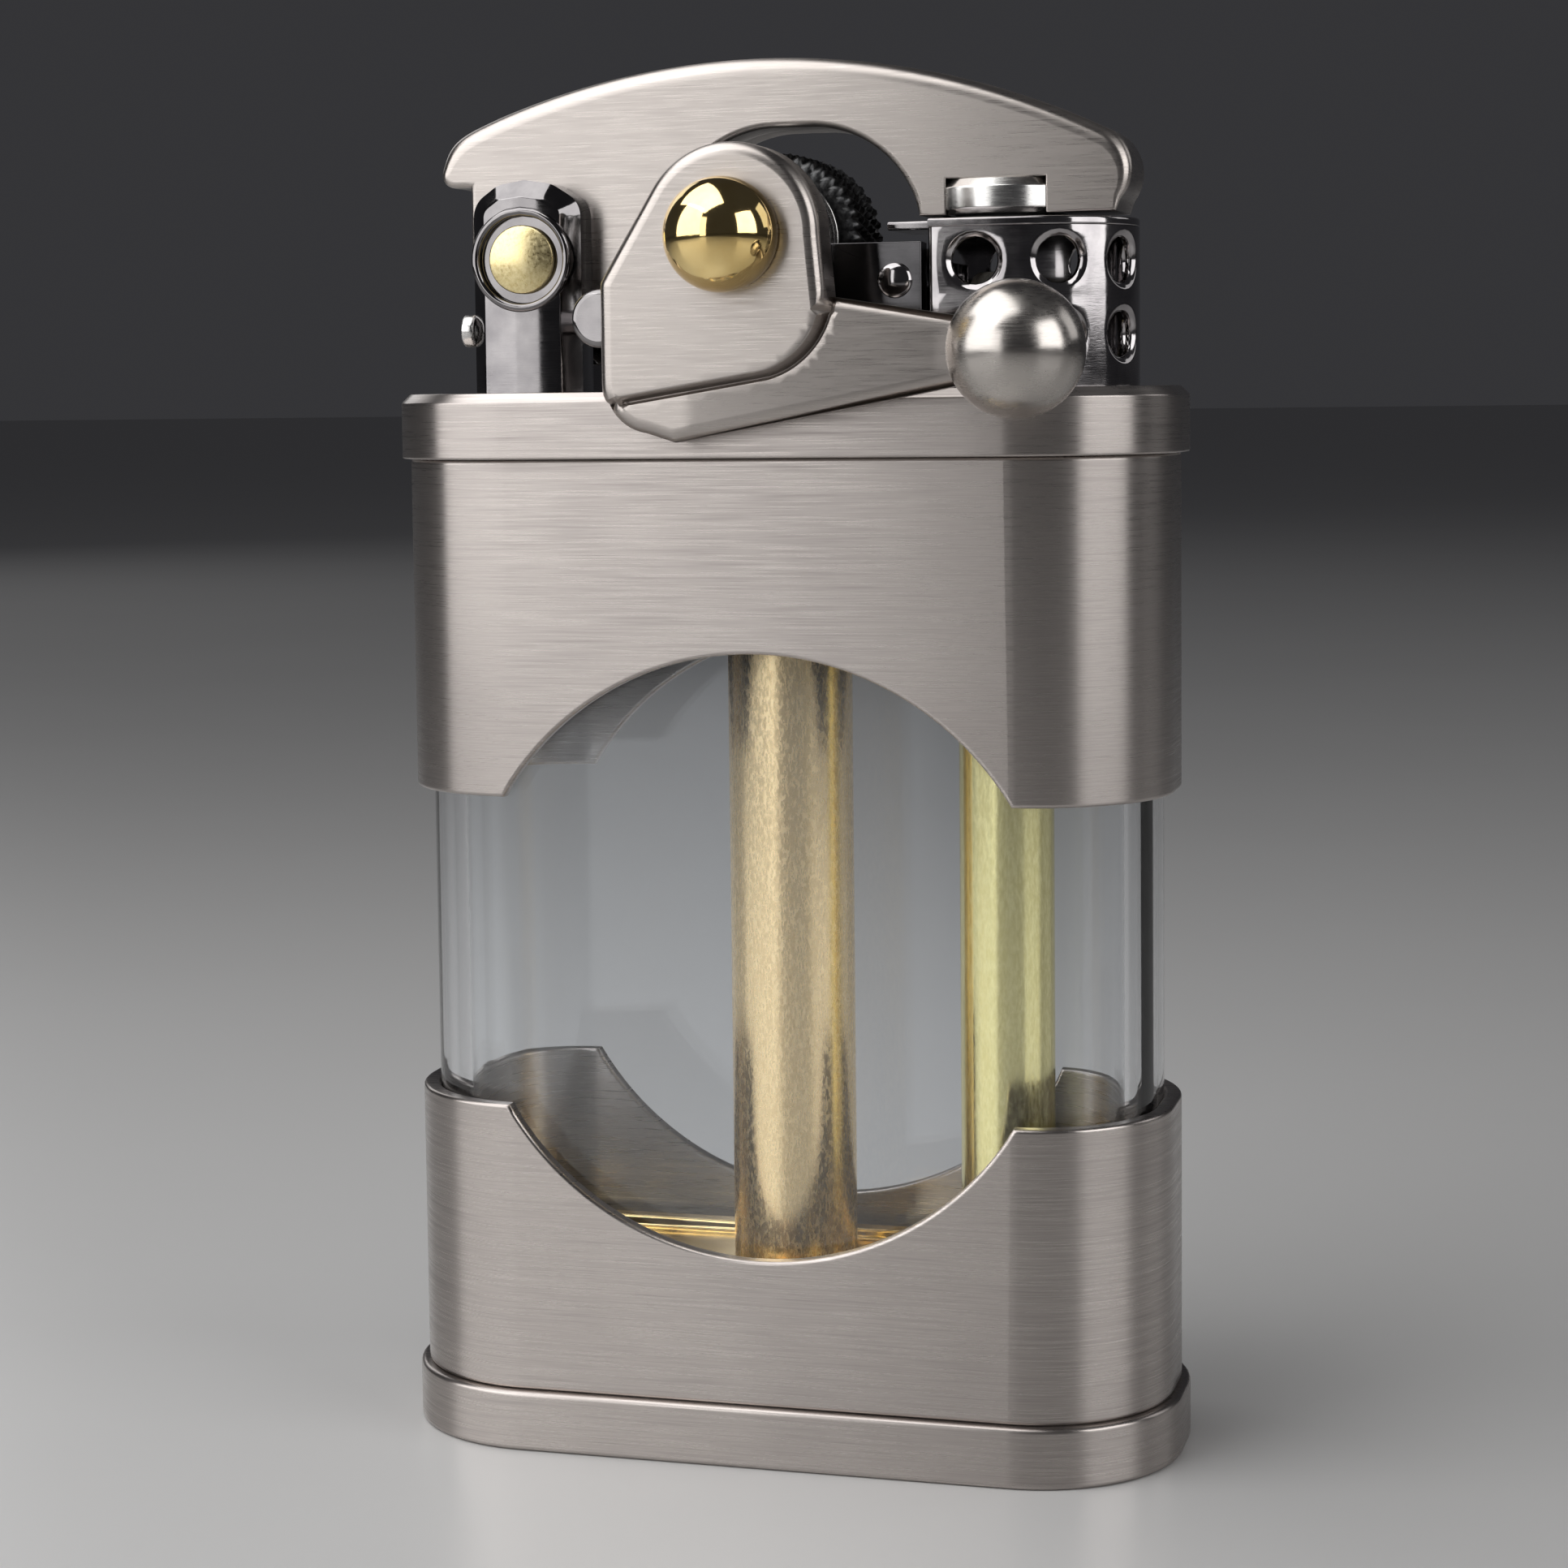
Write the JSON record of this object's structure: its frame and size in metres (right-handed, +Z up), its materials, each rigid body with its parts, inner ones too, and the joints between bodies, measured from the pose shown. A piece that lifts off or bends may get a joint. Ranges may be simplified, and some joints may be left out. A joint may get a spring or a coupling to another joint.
{
  "type": "pocket petrol lighter",
  "caption": "Pocket petrol lighter with a flint wheel, a see-through tank, a lift arm that carries the snuffer and a rocker lever with a ball knob.",
  "frame": {"origin": "middle of the foot's underside, under the flint tube's axis", "axes": "+Z up, +X to the right seen from the lever side, +Y to the back"},
  "size_m": [0.0368, 0.0219, 0.064],
  "materials": {
    "satin_nickel": "brushed warm gunmetal nickel, satin",
    "dark_chrome": "polished black chrome",
    "brass": "satin brass",
    "bright_brass": "drawn bright brass",
    "gold": "polished gold plate",
    "glass": "clear thick tank wall",
    "rubber": "matt black rubber",
    "steel": "turned steel",
    "dark_steel": "hardened dark steel with cut teeth",
    "flint": "cast ferrocerium",
    "cotton": "braided cotton wick"
  },
  "bodies": {
    "case": {"foot_plate": "satin_nickel", "lower_collar": "satin_nickel", "tank_floor": "brass", "lower_seal": "rubber", "tank_glass": "glass", "upper_seal": "rubber", "tank_ceiling": "brass", "upper_collar": "satin_nickel", "deck_cap": "satin_nickel", "flint_tube": "brass", "wick_tube": "bright_brass", "wick": "cotton", "flint_spring": "steel", "hinge_post": "dark_chrome", "hinge_pin": "gold", "post_screw": "steel", "detent_leaf": "steel", "chimney": "dark_chrome", "chimney_lid": "dark_chrome", "wheel_yoke": "dark_chrome", "cross_pin": "dark_chrome", "lever_spring": "steel"},
    "lever": {"thumb_lever": "satin_nickel", "lever_knob": "satin_nickel", "pivot_cap": "gold", "striker_axle": "steel", "drive_sleeve": "steel", "pawl_plate": "steel", "axle_clip": "dark_steel"},
    "wheel": {"flint_wheel": "dark_steel", "ratchet_ring": "dark_steel", "wheel_washer": "steel"},
    "arm": {"lift_arm": "satin_nickel", "drive_stud": "steel", "snuffer_cap": "satin_nickel", "snuffer_seal": "rubber", "snuffer_rivet": "steel"},
    "flint_follower": {"flint": "flint", "flint_plunger": "brass"},
    "flint_plug": {"flint_screw": "brass"},
    "filler_plug": {"filler_screw": "brass", "filler_oring": "rubber"}
  },
  "joints": [
    {"name": "lever_press", "type": "hinge", "parent": "case", "child": "lever", "pos_m": [0, 0, 0.0556], "axis": [0, 1, 0], "range_deg": [0, 50], "stiffness_Nm_per_rad": 0.01, "springref_deg": -20.05},
    {"name": "arm_lift", "type": "hinge", "parent": "case", "child": "arm", "pos_m": [-0.0114, 0, 0.055], "axis": [0, -1, 0], "range_deg": [0, 60]},
    {"name": "wheel_spin", "type": "hinge", "parent": "case", "child": "wheel", "pos_m": [0, 0, 0.0556], "axis": [0, 1, 0], "range_deg": [0, 50]},
    {"name": "flint_feed", "type": "slide", "parent": "case", "child": "flint_follower", "axis": [0, 0, 1], "range_m": [-0.002, 0], "stiffness_N_per_m": 80, "springref_m": 0.012, "deforming": ["flint_spring"]},
    {"name": "flint_screw_turn", "type": "hinge", "parent": "case", "child": "flint_plug", "pos_m": [0, 0, 0.001], "axis": [0, 0, -1], "continuous": true},
    {"name": "filler_screw_turn", "type": "hinge", "parent": "case", "child": "filler_plug", "pos_m": [-0.0095, 0, 0.001], "axis": [0, 0, -1], "continuous": true}
  ],
  "couplings": [
    {"joint": "arm_lift", "follows": "lever_press", "ratio": 1.2},
    {"joint": "wheel_spin", "follows": "lever_press", "ratio": 1}
  ]
}
